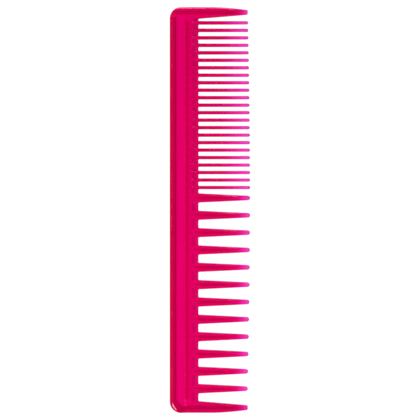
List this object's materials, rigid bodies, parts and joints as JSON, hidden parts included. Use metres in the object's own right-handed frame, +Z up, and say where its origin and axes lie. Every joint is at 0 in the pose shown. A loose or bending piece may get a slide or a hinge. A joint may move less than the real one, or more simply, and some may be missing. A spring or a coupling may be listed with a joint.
{
  "type": "wide tooth comb",
  "caption": "Flat styling comb with narrow teeth on one half, wide tapered teeth on the other, a beaded back and a guard at each end, in glossy translucent pink plastic.",
  "frame": {"origin": "middle of the comb's length and width, on the plane its underside rests on", "axes": "+Y along the comb to its narrow-tooth end, +X from the back to the tooth tips, +Z up through its thickness"},
  "size_m": [0.0357, 0.18, 0.0044],
  "materials": {
    "pink_plastic": "glossy tinted translucent moulding: crimson where it is thick, light pink at the thin tips"
  },
  "bodies": {
    "root": {"back_bead": "pink_plastic", "recessed_panel": "pink_plastic", "root_rail": "pink_plastic", "end_guard_fine": "pink_plastic", "end_guard_wide": "pink_plastic", "fine_tooth_01": "pink_plastic", "fine_tooth_02": "pink_plastic", "fine_tooth_03": "pink_plastic", "fine_tooth_04": "pink_plastic", "fine_tooth_05": "pink_plastic", "fine_tooth_06": "pink_plastic", "fine_tooth_07": "pink_plastic", "fine_tooth_08": "pink_plastic", "fine_tooth_09": "pink_plastic", "fine_tooth_10": "pink_plastic", "fine_tooth_11": "pink_plastic", "fine_tooth_12": "pink_plastic", "fine_tooth_13": "pink_plastic", "fine_tooth_14": "pink_plastic", "fine_tooth_15": "pink_plastic", "fine_tooth_16": "pink_plastic", "fine_tooth_17": "pink_plastic", "fine_tooth_18": "pink_plastic", "fine_tooth_19": "pink_plastic", "fine_tooth_20": "pink_plastic", "fine_tooth_21": "pink_plastic", "fine_tooth_22": "pink_plastic", "fine_tooth_23": "pink_plastic", "wide_tooth_01": "pink_plastic", "wide_tooth_02": "pink_plastic", "wide_tooth_03": "pink_plastic", "wide_tooth_04": "pink_plastic", "wide_tooth_05": "pink_plastic", "wide_tooth_06": "pink_plastic", "wide_tooth_07": "pink_plastic", "wide_tooth_08": "pink_plastic", "wide_tooth_09": "pink_plastic", "wide_tooth_10": "pink_plastic", "wide_tooth_11": "pink_plastic", "wide_tooth_12": "pink_plastic"}
  },
  "joints": []
}
